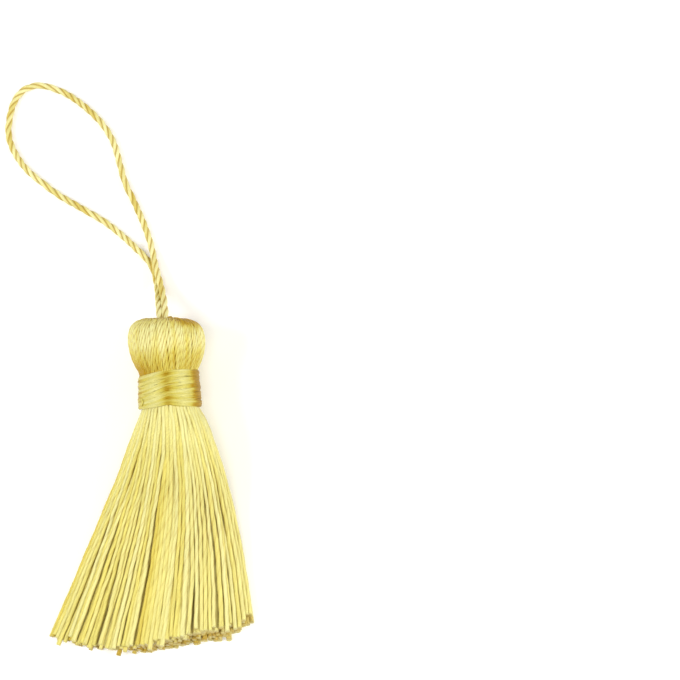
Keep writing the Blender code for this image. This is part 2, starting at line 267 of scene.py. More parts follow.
def flossMaterial(name, look):
    # Rayon floss: many straight, shiny fibres, drawn as fine lines where the fibres part. The flanks of each
    # yarn and the grooves between the plies turn to the shade colour, painted shade, which with the gloss
    # leaves a pale satin streak along each yarn.
    material = bpy.data.materials.new(name)
    material.use_nodes = True
    tree = material.node_tree
    tree.nodes.clear()
    fibre = addNode(tree, "ShaderNodeAttribute", {"attribute_name": "fibre"})
    hollow = addNode(tree, "ShaderNodeAttribute", {"attribute_name": "hollow"})
    flankShade = addNode(tree, "ShaderNodeAttribute", {"attribute_name": "flankShade"})
    tone = addNode(tree, "ShaderNodeAttribute", {"attribute_name": "tone"})
    fine = 1.0 / look["fibreMm"]
    stretched = addNode(tree, "ShaderNodeMapping", {"Scale": (fine, fine, fine / look["streak"])},
                        {"Vector": fibre.outputs["Vector"]})
    # yarns of another tone get other lines
    spread = addNode(tree, "ShaderNodeCombineXYZ", {}, {"X": tone.outputs["Fac"], "Y": tone.outputs["Fac"]})
    apart = addNode(tree, "ShaderNodeVectorMath", {"operation": "MULTIPLY_ADD", 1: (97.0, 53.0, 0.0)},
                    {0: spread.outputs["Vector"], 2: stretched.outputs["Vector"]})
    lines = addNode(tree, "ShaderNodeTexNoise", {"Scale": 1.0, "Detail": 2.0, "Roughness": 0.6},
                    {"Vector": apart.outputs["Vector"]})
    # tone runs from deep to pale; it carries the yarns' own differences and also painted light and painted
    # shade
    base = addNode(tree, "ShaderNodeValToRGB", {}, {"Fac": tone.outputs["Fac"]})
    rampColours(base, [(0.0, look["deep"]), (0.35, look["body"]), (1.0, look["pale"])])
    # painted shade: the valleys between the plies turn to the shade colour, and the flank shade adds to it
    grooveShade = addNode(tree, "ShaderNodeMapRange", {"From Min": look["grooveFrom"], "From Max": 1.0,
                                                  "To Min": 0.0, "To Max": look["grooveShade"]},
                     {"Value": hollow.outputs["Fac"]})
    paintedShadeMix = addNode(tree, "ShaderNodeMath",
                    {"operation": "MULTIPLY_ADD", "use_clamp": True, 1: look["flankShade"]},
                    {0: flankShade.outputs["Fac"], 2: grooveShade.outputs["Result"]})
    shaded = addNode(tree, "ShaderNodeMix", {"data_type": "RGBA", "blend_type": "MIX"},
                     {"Factor": paintedShadeMix.outputs["Value"], 6: base.outputs["Color"]})
    shaded.inputs[7].default_value = linear(look["shade"])
    streaks = addNode(tree, "ShaderNodeMapRange", {"From Min": 0.3, "From Max": 0.7,
                                                   "To Min": 1.0 - look["streakDepth"], "To Max": 1.0},
                      {"Value": lines.outputs["Fac"]})
    tinted = addNode(tree, "ShaderNodeMix", {"data_type": "RGBA", "blend_type": "MULTIPLY", "Factor": 1.0},
                     {6: shaded.outputs[2], 7: streaks.outputs["Result"]})
    bump = addNode(tree, "ShaderNodeBump",
                   {"Strength": look["bump"], "Distance": look["fibreMm"] * look["fibreDepth"] * mm},
                   {"Height": lines.outputs["Fac"]})
    shader = addNode(tree, "ShaderNodeBsdfPrincipled", {
        "Roughness": look["rough"], "Specular IOR Level": look["gloss"], "IOR": 1.5,
        "Specular Tint": linear(look["shine"]),
    }, {"Base Color": tinted.outputs[2], "Normal": bump.outputs["Normal"]})
    addNode(tree, "ShaderNodeOutputMaterial", {}, {"Surface": shader.outputs["BSDF"]})
    return material


# fibreMm is the spacing of the fine lines, drawn coarser than real fibres so that they show, streak how
# much longer than wide they are; the groove and flank shade say how far grooves and flanks turn to the
# shade colour, painted shade
yarnLook = {
    "pale": "#F4EEA2", "body": "#EDE07A", "deep": "#DDC344", "shade": "#B28400",
    "fibreMm": 0.24, "fibreDepth": 0.35, "streak": 30.0, "streakDepth": 0.26,
    "grooveShade": 0.24, "grooveFrom": 0.35, "flankShade": 0.80,
    "bump": 0.4, "rough": 0.32, "gloss": 0.38, "shine": "#FFE684",
}
# the same yarn folded over the crown: finer lines, and painted shade, deep gold, between its plies
headLook = dict(yarnLook, pale="#F2EDA4", body="#E4D566", deep="#C29A18", grooveShade=0.6, flankShade=0.55,
                fibreMm=0.12, streakDepth=0.2)
# untwisted floss wound tight: its broad bands of shine are painted highlight on top of its gloss, and
# its brown gold sides are painted shade
bindingLook = {
    "pale": "#F6F1A0", "body": "#E5D762", "deep": "#BE9512", "shade": "#906A00",
    "fibreMm": 0.14, "fibreDepth": 0.35, "streak": 30.0, "streakDepth": 0.36,
    "grooveShade": 0.3, "grooveFrom": 0.35, "flankShade": 0.7,
    "bump": 0.6, "rough": 0.40, "gloss": 0.32, "shine": "#FFE274",
}
# hard twisted cord: pale crests with a wide band of painted shade, in gold, between them
cordLook = {
    "pale": "#FBF5B2", "body": "#E8DC88", "deep": "#D6BE56", "shade": "#BC9218",
    "fibreMm": 0.12, "fibreDepth": 0.35, "streak": 16.0, "streakDepth": 0.22,
    "grooveShade": 0.95, "grooveFrom": 0.12, "flankShade": 0.15,
    "bump": 0.6, "rough": 0.34, "gloss": 0.5, "shine": "#FFEE9C",
}
# what is glimpsed between the yarns: the same rayon, painted darker as shade
coreLook = dict(yarnLook, pale="#DCC24A", body="#CDAE38", deep="#B89424", grooveShade=0.0)
yarnSilk = flossMaterial("rayonYarn", yarnLook)
headSilk = flossMaterial("rayonYarnFolded", headLook)
bindingSilk = flossMaterial("rayonFlossWinding", bindingLook)
cordSilk = flossMaterial("rayonTwistedCord", cordLook)
coreSilk = flossMaterial("rayonYarnUnderneath", coreLook)
print("tassel: materials ready")


# hanging cord: three plies laid to the right, one loop with both ends in the crown

hangingCord = {
    "radius": 0.825,        # as in the solid
    "crest": 0.075, "fuller": 0.06,     # how much further out the crests lie, and again near the crown
    "fullTo": 4.0, "fullFade": 9.0,     # how far from its ends the cord is fuller
    "plies": 3, "lay": 9.0, "valley": 0.60, "rings": 560, "corners": 24,
    "looseTwist": [(0.55, 6.1, 0.8), (0.35, 2.9, 2.0)],     # size in radians, period in mm, start
    "plySheenTones": (1.0, 0.45, 0.75),      # painted sheen: one ply painted paler, one deeper
    # paler near the crown: painted light, where the head shades the cord
    "toneWaves": [(0.22, 4.7, 1.0)], "toneShift": -0.12, "paintedLightAtCrown": 0.5,
    "route": [
        (2.62, 43.95, 9.60), (2.25, 45.90, 7.90), (1.60, 49.00, 4.60), (1.00, 52.50, 2.10),
        (0.20, 56.20, 0.95), (-1.20, 59.30, 0.85), (-4.30, 62.70, 0.85), (-9.20, 67.20, 0.85),
        (-13.80, 70.70, 0.85), (-19.90, 74.30, 0.85), (-25.60, 77.60, 0.85), (-30.10, 80.90, 0.85),
        (-34.60, 84.70, 0.85), (-37.90, 89.20, 0.85), (-39.70, 93.90, 0.85), (-39.60, 98.60, 0.85),
        (-38.30, 103.60, 0.85), (-35.60, 106.80, 0.85), (-31.70, 107.90, 0.85), (-27.70, 107.00, 0.85),
        (-23.40, 105.00, 0.85), (-18.90, 101.70, 0.85), (-14.60, 97.40, 0.85), (-11.40, 92.20, 0.85),
        (-9.60, 86.20, 0.85), (-8.00, 80.90, 0.85), (-5.40, 75.50, 0.85), (-3.00, 70.00, 0.85),
        (-1.20, 65.00, 0.90), (-0.10, 60.60, 1.60), (0.95, 56.60, 2.62), (2.10, 52.80, 3.40),
        (3.15, 48.90, 5.60), (3.76, 45.90, 8.20), (4.06, 43.95, 9.75),
    ],
    "inCrown": [(2.70, 41.60, 9.60), (4.05, 41.60, 9.75)],      # the ends, under the folded yarns
}


def makeCord(look):
    # a tube of three plies along the smooth curve through the route, the twist looser here and there
    path, run = evenly(look["inCrown"][:1] + look["route"] + look["inCrown"][1:], look["rings"])
    paths = path[None]
    up = np.zeros_like(paths)
    up[..., 2] = 1.0
    fromCrown = np.minimum(run, run[-1] - run)[None]
    nearCrown = 1 - smooth((fromCrown - look["fullTo"]) / look["fullFade"])
    size = look["radius"] + look["crest"] + look["fuller"] * nearCrown
    twist = waves(run, look["looseTwist"])
    # corner j belongs to the ply whose crest is nearest
    corners, plies = look["corners"], look["plies"]
    ply = (np.arange(corners) * plies + corners // 2) // corners % plies
    # painted light: the cord paler near the crown, where the head shades it
    along = waves(run, look["toneWaves"]) + look["toneShift"] + look["paintedLightAtCrown"] * nearCrown
    tone = np.array(look["plySheenTones"])[ply][None, None, :] + along[..., None]
    piece = twistedYarns("hangingCord", paths, up, size, size, plies, look["lay"],
                         twist[None], np.clip(tone, 0, 1), corners, look["valley"])
    return piece, path, run[-1]


cord, cordPath, cordLength = makeCord(hangingCord)
flattened(cord)
cord.data.materials.append(cordSilk)
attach(cord, "root")
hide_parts("hanging_cord")
print("tassel: cord,", round(float(cordLength), 1), "mm")


# head: yarns folded over the crown, down to the neck

head = {
    "neckEnd": (5.49, 20.24, 8.94), "lean": 3.3, "rise": 2.14,
    "yarns": 96, "rings": 64, "corners": 12, "plies": 3, "lay": 6.4, "valley": 0.72,
    "inset": 0.42, "thick": 0.44, "fullness": 1.75, "slant": 0.12,
    "lift": 0.06, "astray": 0.15, "wander": 0.018,      # how unevenly the yarns lie: out, aside, winding
    "dimpleShift": -0.95,       # the dimple lies left of the middle, where the cord goes in
    "level": 0.05,      # the crown lies level although the head leans
    "tone": 0.42, "toneSpread": 0.36, "toneAlong": 0.12, "tonePatch": 0.14,
    # painted light where the fullest part looks up; painted shade over the crown, towards and at the neck, as
    # lower tone and as sunk shade
    "paintedLightAtFull": 0.24, "toneShadeAtCrown": 0.95, "toneShadeToNeck": 0.62, "toneShadeAtNeck": 0.95,
    "sunkShadeAtCrown": 0.5, "sunkShadeToNeck": 0.30, "sunkShadeAtNeck": 0.6,
    # outer profile: radius and height above the neck end
    "profile": [(1.25, 22.05), (1.9, 22.5), (2.9, 22.95), (4.2, 23.2), (5.6, 23.2), (7.1, 22.85),
                (8.4, 22.1), (9.3, 21.0), (9.85, 19.5), (10.05, 17.7), (9.95, 15.8), (9.55, 13.8),
                (8.95, 12.0), (8.3, 10.6), (7.75, 9.5), (7.5, 8.4), (7.35, 7.2), (7.2, 6.4)],
    # the same for the core under the yarns
    "core": [(0.9, 21.4), (2.9, 22.1), (5.4, 22.5), (7.4, 22.0), (8.8, 20.6), (9.5, 18.4), (9.5, 16.0),
             (9.0, 13.4), (8.0, 10.9), (7.2, 9.2), (6.8, 6.0), (6.8, 0.6), (6.2, 0.2)],
}
lean, rise = math.radians(head["lean"]), math.radians(head["rise"])
headAcross = np.array((math.cos(lean), math.sin(lean), 0.0))
headAlong = np.array((-math.sin(lean) * math.cos(rise), math.cos(lean) * math.cos(rise), math.sin(rise)))
headUnder = np.cross(headAlong, headAcross)


def onHead(radius, angle, height):
    # neck end + r cos(a) across + r sin(a) under + height along, drawn to the cord near the crown
    near = (1 - smooth((radius - 2.4) / 4.4)) * smooth((height - 21.4) / 0.6)
    height = height - head["level"] * radius * np.cos(angle) * smooth((height - 11.0) / 10.0)
    x = radius * np.cos(angle) + head["dimpleShift"] * near
    y = radius * np.sin(angle)
    return (np.array(head["neckEnd"]) + x[..., None] * headAcross + y[..., None] * headUnder
            + height[..., None] * headAlong)


def makeHead(look):
    # each yarn follows the profile from the crown to the neck, a little slanted and set in by its thickness
    chance = np.random.default_rng(5)
    profile, run = evenly(look["profile"], look["rings"])
    n = look["yarns"]
    slope = unit(np.gradient(profile, axis=0))
    outward = np.stack((-slope[:, 1], slope[:, 0]), axis=1)
    t = run / run[-1]
    radius = profile[:, 0] - look["inset"] * outward[:, 0]
    height = profile[:, 1] - look["inset"] * outward[:, 1]
    lift = look["lift"] * chance.normal(size=(n, 1)) * np.sin(np.pi * t)[None, :]
    start = 2 * np.pi * (np.arange(n)[:, None] + look["astray"] * chance.uniform(-1, 1, (n, 1))) / n
    windings = t[None, :] * chance.uniform(0.7, 1.6, (n, 1)) + chance.random((n, 1))
    wander = look["wander"] * np.sin(2 * np.pi * windings)
    angle = start + look["slant"] * (t[None, :] - 0.5) + wander
    radii = radius[None, :] + lift * outward[None, :, 0]
    heights = height[None, :] + lift * outward[None, :, 1]
    paths = onHead(radii, angle, heights)
    away = onHead(radii + outward[None, :, 0], angle, heights + outward[None, :, 1]) - paths
    wide = np.pi * np.maximum(radii, 0.8) / n * look["fullness"]
    high = np.minimum(look["thick"], 0.25 + 0.9 * wide)
    tone = look["tone"] + look["toneSpread"] * chance.random(n)[:, None]
    tone = tone + look["toneAlong"] * np.sin(9 * t[None, :] + 6 * chance.random((n, 1)))
    patches = np.sin(5.3 * angle + 7 * t[None, :] + 1.0) * np.sin(11 * t[None, :] + 2.1 * angle)
    tone = tone + look["tonePatch"] * patches
    # painted highlight where the fullest part looks up; painted shade, deep gold, over the crown, more on its
    # right, and in towards the binding, most on the left
    right = smooth((np.cos(angle) - 0.1) / 0.6)
    atFull = (smooth((t - 0.30) / 0.12) * (1 - smooth((t - 0.56) / 0.14)))[None, :]
    atCrown = 1 - smooth((t[None, :] - 0.17 - 0.13 * right) / 0.17)
    towardNeck = smooth((t - 0.54) / 0.3)[None, :] * (0.55 + 0.45 * smooth((0.5 - np.cos(angle)) / 1.0))
    atNeck = smooth((t - 0.74) / 0.24)[None, :] * smooth((-0.25 - np.cos(angle)) / 0.6)
    tone = (tone + look["paintedLightAtFull"] * atFull) * (1 - look["toneShadeAtCrown"] * atCrown)
    tone = tone * (1 - look["toneShadeToNeck"] * towardNeck) * (1 - look["toneShadeAtNeck"] * atNeck)
    sunkShade = look["sunkShadeAtCrown"] * atCrown + look["sunkShadeToNeck"] * towardNeck + look["sunkShadeAtNeck"] * atNeck
    return twistedYarns("headYarns", paths, unit(away), wide, high, look["plies"], look["lay"],
                        2 * np.pi * chance.random((n, 1)), np.clip(tone, 0, 1), look["corners"],
                        look["valley"], sunkShade=np.clip(sunkShade, 0, 1))


coreSteps = 96      # corners round the surfaces under the yarns and the floss


def turnedSurface(name, profile, steps, tone=0.3, flankShade=0.5):
    # the profile carried once round the head's line, closed at both poles; by default a low tone and some
    # flank shade, painted shade, the same all over
    profile = np.asarray(profile, float)
    angle = 2 * np.pi * np.arange(steps) / steps
    verts = onHead(np.repeat(profile[:, :1], steps, axis=1), np.repeat(angle[None], len(profile), axis=0),
                   np.repeat(profile[:, 1:], steps, axis=1))
    rows = len(profile)
    k = (np.arange(rows - 1) * steps)[:, None]
    j = np.arange(steps)[None, :]
    after = (j + 1) % steps
    quads = np.stack(np.broadcast_arrays(k + j, k + steps + j, k + steps + after, k + after), axis=-1)
    poles = np.stack((verts[0].mean(axis=0), verts[-1].mean(axis=0)))
    top, low = rows * steps, rows * steps + 1
    j, after = j[0], after[0]
    topFan = np.stack(np.broadcast_arrays(top, j, after, after), axis=-1)
    lowRow = (rows - 1) * steps
    lowFan = np.stack(np.broadcast_arrays(low, lowRow + after, lowRow + j, lowRow + j), axis=-1)
    allVerts = np.concatenate((verts.reshape(-1, 3), poles))
    run = np.concatenate((np.repeat(np.arange(rows) * 1.0, steps), [0.0, rows]))
    ring = np.concatenate((np.tile(angle, rows), [0.0, 0.0]))
    fibre = np.stack((8 * np.cos(ring), 8 * np.sin(ring), run), axis=1)
    return makeMesh(name, allVerts, np.concatenate((quads.reshape(-1, 4), topFan, lowFan)), {
        "fibre": fibre, "hollow": np.zeros(len(allVerts)), "flankShade": np.full(len(allVerts), flankShade),
        "tone": np.full(len(allVerts), tone)})


crownThread = {
    # a thread over the crown, right of the cord: radius, angle, height on the head
    "over": [(2.6, -1.22, 22.5), (3.3, -1.03, 23.1), (3.96, -0.94, 23.42), (4.7, -0.94, 23.2),
             (5.8, -0.95, 23.16), (7.0, -0.94, 22.86), (8.1, -0.92, 22.26), (8.8, -0.91, 21.5),
             (8.9, -0.90, 20.7)],
    "radius": 0.22, "knot": 0.26, "knotAt": 0.2, "knotLong": 0.6,       # knotted at the rim
    # the low tone and sunk shade paint the thread deep gold: painted shade under the crown rim
    "plies": 2, "lay": 2.4, "rings": 60, "corners": 10, "valley": 0.7, "tone": 0.1, "sunkShade": 0.55,
}


def makeCrownThread(look):
    # a small twisted tube, thicker at the knot by knot * e^-(away / knotLong)^2
    spots = np.array(look["over"])
    points = onHead(spots[:, 0], spots[:, 1], spots[:, 2])
    path, run = evenly(points, look["rings"])
    up = np.zeros_like(path)
    up[:, 2] = 1.0
    away = (run - run[-1] * look["knotAt"]) / look["knotLong"]
    size = (look["radius"] + look["knot"] * np.exp(-away ** 2))[None]
    tone = np.full_like(size, look["tone"])
    sunkShade = np.full_like(size, look["sunkShade"])
    return twistedYarns("crownThread", path[None], up[None], size, size, look["plies"], look["lay"],
                        np.zeros((1, 1)), tone, look["corners"], look["valley"], sunkShade=sunkShade)


headYarns = makeHead(head)
flattened(headYarns)
headYarns.data.materials.append(headSilk)
headCore = turnedSurface("headCore", head["core"], coreSteps)
flattened(headCore, 0.05)
headCore.data.materials.append(coreSilk)
thread = makeCrownThread(crownThread)
thread.data.materials.append(headSilk)
for piece in (headYarns, headCore, thread):
    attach(piece, "root")
    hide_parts("tassel_yarn")
print("tassel: head,", head["yarns"], "yarns")


# binding: floss wound down the neck, back up and down again

binding = {
    "length": 9.85, "topRadius": 7.60, "lowRadius": 7.95, "coreInset": 0.30,
    # each pass: turns, from height, to height, how far out it lies, how far it climbs to the right
    "passes": [(23.0, 9.60, 0.30, -0.03, 0.3), (15.0, 0.30, 9.55, 0.05, -1.2),
               (14.0, 9.60, 0.35, 0.12, 1.5), (9.0, 0.5, 9.4, 0.18, 2.0)],
    "wide": 0.31, "thick": 0.19, "ringsATurn": 60, "corners": 10, "begin": 0.4,
    "straight": 1e6, "valley": 0.98,        # the floss isn't twisted, its section is nearly plain
    "leftDip": 1.25, "rightDip": 0.40,        # how much lower the upper edge is at the sides
    "lowRight": 0.45, "lowMiddle": 0.45,      # the lower edge: down on the right, drawn up in the middle
    "fold": 0.22, "foldWide": 0.17,           # a shallow fold down the middle of the front
    # how unevenly the floss lies: period in radians and share of each wave of the height
    "wobble": 0.22, "wobbles": [(0.83, 0.45), (1.9, 0.35), (3.7, 0.45), (5.3, 0.4), (0.31, 0.08)],
    "radiusWaves": [(0.07, 1.31, 0.7), (0.07, 4.3, 2.0)], "drawnIn": 0.16,
    "tone": 0.48, "toneWaves": [(0.16, 2.1, 0.0), (0.16, 0.77, 1.0)],
    # painted highlight in bands where the floss faces the side lights: pale is how much, then the place
    # across and half width of each band; then how much painted shade deepens the fold and both sides
    "pale": 0.42, "highlightBands": [(-0.42, 0.24), (0.52, 0.18)],
    "toneShadeInFold": 0.35, "toneShadeRight": 0.75, "toneShadeLeft": 0.15,
    "sunkShadeInFold": 0.2, "sunkShadeRight": 0.6, "sunkShadeLeft": 0.15,
}


def makeBinding(look):
    # The floss runs along a helix: its height changes evenly with the angle, dips towards the left side
    # and wobbles slowly. Its section is a flat ellipse. Each pass lies over the one before.
    chance = np.random.default_rng(8)
    columns = []
    begin = look["begin"]
    for turns, first, last, out, slope in look["passes"]:
        rings = int(turns * look["ringsATurn"])
        t = np.linspace(0.0, 1.0, rings, endpoint=False)
        ones = np.ones(rings)
        columns.append(np.stack((first + (last - first) * t, begin + 2 * np.pi * turns * t, out * ones,
                                 slope * ones)))
        begin += 2 * np.pi * turns
    height, angle, out, climb = np.concatenate(columns, axis=1)
    across, front = np.cos(angle), smooth(-3 * np.sin(angle))
    wobble = np.zeros_like(height)
    for period, share in look["wobbles"]:
        wobble += share * np.sin(angle / period + chance.uniform(0, 2 * np.pi))
    inside = np.clip(np.minimum(height, look["length"] - height) / 1.0, 0.1, 1)
    share = height / look["length"]
    height = height + inside * look["wobble"] * wobble + 4 * share * (1 - share) * climb * across
    height = np.clip(height, 0.2, look["length"] - 0.15)
    upper = look["length"] - look["leftDip"] * smooth((0.15 - across) / 1.15)
    upper = upper - look["rightDip"] * smooth((across - 0.4) / 0.6)
    lower = look["lowMiddle"] * front * np.exp(-(across / 0.25) ** 2)
    lower = lower - look["lowRight"] * smooth((across - 0.1) / 0.8)
    height = lower + height * (upper - lower) / look["length"]
    radius = look["topRadius"] + (look["lowRadius"] - look["topRadius"]) * smooth(1 - height / look["length"])
    nearEnd = np.minimum(height - lower - 0.1, upper - height)
    radius = radius - look["drawnIn"] * (1 - smooth(nearEnd / 0.6)) + out
    radius = radius + waves(angle, look["radiusWaves"])
    inFold = front * np.exp(-((across - 0.02) / look["foldWide"]) ** 2)
    radius = radius - look["fold"] * inFold
    paths = onHead(radius[None], angle[None], height[None])
    outward = onHead(radius[None] + 1.0, angle[None], height[None]) - paths
    wide = look["wide"] * (1 + 0.25 * np.sin(angle / 2.7 + 1.1))[None]
    thick = np.full_like(wide, look["thick"])
    # painted highlight where it looks up on both sides of the fold; painted shade, deeper gold, in the fold,
    # round the right side and a little on the left
    tone = look["tone"] + waves(angle, look["toneWaves"])
    for place, half in look["highlightBands"]:
        tone = tone + look["pale"] * front * np.exp(-((across - place) / half) ** 2)
    tone = tone - look["toneShadeInFold"] * inFold - look["toneShadeRight"] * smooth((across - 0.68) / 0.28)
    tone = tone - look["toneShadeLeft"] * smooth((-0.75 - across) / 0.2)
    sunkShade = look["sunkShadeInFold"] * inFold + look["sunkShadeRight"] * smooth((across - 0.8) / 0.18)
    sunkShade = sunkShade + look["sunkShadeLeft"] * smooth((-0.8 - across) / 0.2)
    return twistedYarns("neckBinding", paths, unit(outward), wide, thick, 2, look["straight"],
                        np.zeros((1, 1)), np.clip(tone, 0, 1)[None], look["corners"], look["valley"],
                        sunkShade=sunkShade[None])


tuckedEnd = {
    # the end of the floss makes a small eye at the lower left: angle and height of its middle
    "angle": 3.75, "height": 1.75, "eye": 0.70, "out": 8.42, "under": 0.75, "radius": 0.23,
    "from": -150.0, "to": 130.0,        # degrees of the circle that show
    "plies": 2, "lay": 3.0, "valley": 0.85, "tone": 0.5, "points": 9, "rings": 40, "corners": 10,
}


def makeTuckedEnd(look):
    # three quarters of a circle on the binding, both ends going in under the floss
    around = np.radians(np.linspace(look["from"], look["to"], look["points"]))
    nearEnd = smooth((np.abs(np.linspace(-1, 1, look["points"])) - 0.7) / 0.3)
    points = onHead(look["out"] - look["under"] * nearEnd,
                    look["angle"] + look["eye"] * np.cos(around) / look["out"],
                    look["height"] + look["eye"] * np.sin(around))
    path, _ = evenly(points, look["rings"])
    up = np.zeros_like(path)
    up[:, 2] = 1.0
    size = np.full((1, look["rings"]), look["radius"])
    return twistedYarns("tuckedEnd", path[None], up[None], size, size, look["plies"], look["lay"],
                        np.zeros((1, 1)), np.full_like(size, look["tone"]), look["corners"], look["valley"])


bindingFloss = makeBinding(binding)
bindingFloss.data.materials.append(bindingSilk)
flossEnd = makeTuckedEnd(tuckedEnd)
flossEnd.data.materials.append(bindingSilk)
coreOut = binding["topRadius"] - binding["coreInset"]
# the underlay keeps the low tone and flank shade of a turned surface: painted shade between the turns
bindingCore = turnedSurface("bindingUnderlay", [
    (6.7, 7.6), (coreOut - 0.3, 7.5), (coreOut, 7.1), (coreOut + 0.2, 2.5), (coreOut + 0.25, 0.8),
    (coreOut - 0.1, 0.3), (6.7, 0.25)], coreSteps)
bindingCore.data.materials.append(bindingSilk)
for piece in (bindingFloss, flossEnd, bindingCore):
    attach(piece, "root")
    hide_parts("neck_binding")
print("tassel: binding")


# skirt: yarns packed in the neck, fanned out and lying on each other down to the cut

skirt = {
    "corners": 8, "rings": 108, "innerCorners": 6, "innerRings": 64, "outerShare": 0.62,
    "plies": 2, "lay": 9.0, "valley": 0.90,
    "stations": [-2.5, 0.5, 3.5, 9.0, 17.0, 28.0, 42.0, 66.0],
    "ringSpacing": 0.775, "alongRing": 0.885,       # layers in the neck, and yarns along each
    "rootGap": 0.85, "endGap": 1.17,        # how near two yarns lie, in the neck and at the cut
    "pressed": 0.64, "loose": 0.535,        # half of a yarn's thickness in gaps, in the neck and at the cut
    "rootRadius": 7.25, "heap": 6.9,        # half the neck's height, and how high the heap is at the cut
    # distance from the neck, and x of the left and right edges there
    "edges": [(0.0, -1.67, 12.83), (2.0, -2.45, 14.1), (6.0, -3.9, 15.9), (14.0, -6.9, 18.8),
              (24.0, -11.0, 21.5), (34.5, -16.1, 23.6), (45.0, -20.0, 25.5), (56.0, -24.4, 27.2),
              (68.0, -30.5, 28.8)],
    # partings, where the upper yarns lie apart: from, to, place across at both ends, opening
    "partings": [
        (10.0, 34.0, -0.63, -0.84, 0.26), (9.0, 33.0, -0.16, -0.155, 0.20),
        (16.0, 42.0, -0.11, -0.04, 0.24), (13.0, 36.0, 0.13, 0.04, 0.24),
        (9.0, 33.0, 0.71, 0.50, 0.22), (30.0, 66.0, -0.63, -0.57, 0.30),
        (26.0, 50.0, -0.77, -0.82, 0.30), (34.0, 66.0, -0.34, -0.27, 0.28),
        (30.0, 58.0, -0.10, -0.11, 0.10), (30.0, 58.0, 0.23, 0.28, 0.10),
        (44.0, 66.0, 0.60, 0.68, 0.18), (30.0, 54.0, 0.87, 0.88, 0.18),
        (20.0, 44.0, -0.39, -0.41, 0.18)],
    "partingReach": 2.4,        # how far to both sides the yarns give way
    # the cut: how far up it is at the sides, by u^2 and u^6 on the left, u and u^6 on the right
    "cut": 63.0, "upLeft": (2.8, 1.7), "upRight": (3.6, 4.2), "cutBulge": 0.5,
    "cutSlant": 4.0, "cutUneven": 0.40, "cutRough": 0.07,
    "longShare": 0.07, "longBy": (0.4, 1.3),        # a few yarns are cut too long
    "scatter": 0.45, "drift": 0.026,        # how far yarns stray from their place, aside and outwards
    "lock": 0.055, "lockWidths": (5.5, 9.3),        # they gather in locks of two widths
    "sway": 0.06, "fuller": 0.13, "endFuller": 0.06,
    "strays": 5, "strayShift": 0.75, "strayLift": 0.4,      # yarns lying across the others
    # tone: mean, random spread, then painted light, paler at the neck and to the right
    "tone": 0.55, "toneSpread": 0.2, "paintedLightAtNeck": 0.3, "paintedLightRight": 0.22,
    # painted shade deep in the bundle, and the strength of the painted groove and flank shade: at the neck,
    # further down, less at the cut
    "sunkShade": 0.30, "shadeStrength": 0.6, "shadeStrengthDown": 0.4, "shadeStrengthCut": 0.34,
}


def halfWidth(s):
    # half the distance between the edges, s down from the neck
    distance, left, right = np.array(skirt["edges"]).T
    return 0.5 * (alongStations(right, distance, s) - alongStations(left, distance, s))


def middleLine(s):
    # x midway between the edges
    distance, left, right = np.array(skirt["edges"]).T
    return 0.5 * (alongStations(right, distance, s) + alongStations(left, distance, s))


def parted(x, s, level):
    # next to a parting x moves away from it by (opening / 2) tanh(away / 0.2) e^(-|away| / reach)
    moved = np.zeros_like(x)
    for first, last, here, there, opening in skirt["partings"]:
        line = middleLine(s) + halfWidth(s) * np.interp(s, (first, last), (here, there))
        away = x - line
        aside = 0.5 * opening * smooth((s - first) / 6.0) * smooth((last - s) / 5.0)
        moved += aside * np.tanh(away / 0.2) * np.exp(-np.abs(away) / skirt["partingReach"])
    return x + moved * smooth((level - 0.35) / 0.3)


def yarnGap(s):
    # from rootGap in the neck to endGap 45 mm down
    return skirt["rootGap"] + (skirt["endGap"] - skirt["rootGap"]) * smooth(np.maximum(s, 0.0) / 45.0)


def yarnHalf(s):
    # half a yarn's thickness: the gap times pressed in the neck, times loose from 25 mm down
    share = skirt["pressed"] + (skirt["loose"] - skirt["pressed"]) * smooth(np.maximum(s, 0.0) / 25.0)
    return yarnGap(s) * share


def outline(u, s):
    # top and bottom of the bundle at u across it: a disc in the neck, a low heap on the table at the cut
    rim = np.sqrt(np.maximum(1 - u ** 2, 0))
    settle = smooth((s - 3.0) / 37.0)
    half = yarnHalf(s)
    tall = skirt["rootRadius"] + 0.35 * smooth(s / 2.0) - 0.75 * (s < 0)
    middle = head["neckEnd"][2] - math.tan(rise) * s
    top = (1 - settle) * (middle + tall * rim) + settle * (half + skirt["heap"] * rim)
    low = (1 - settle) * (middle - tall * rim) + settle * half
    return top, np.maximum(low, half)


def packed(spots, goal, gap, half, s, eager, rounds=90):
    # yarns nearer than the gap push each other away; the eager ones drift up or down to the outside,
    # the more the nearer they are to the middle line
    spots = spots.copy()
    rim = np.sqrt(np.maximum(1 - (goal[:, 0] / half) ** 2, 0))
    outward = np.clip(4.0 * (goal[:, 2] - 0.45), -1, 1) * rim * skirt["drift"] * gap * eager
    reach = half - 0.5 * gap
    for _ in range(rounds):
        apart = spots[:, None, :] - spots[None, :, :]
        far = np.maximum(np.linalg.norm(apart, axis=2), 0.1 * gap) + np.eye(len(spots)) * 1e3
        push = np.maximum(gap - far, 0.0) / far
        spots += 0.30 * (apart * push[..., None]).sum(axis=1)
        spots[:, 0] += 0.05 * (goal[:, 0] - spots[:, 0])
        spots[:, 1] += outward
        spots[:, 0] = np.clip(spots[:, 0], -reach, reach)
        top, low = outline(spots[:, 0] / half, s)
        spots[:, 1] = np.clip(spots[:, 1], low, np.maximum(top, low))
    return spots


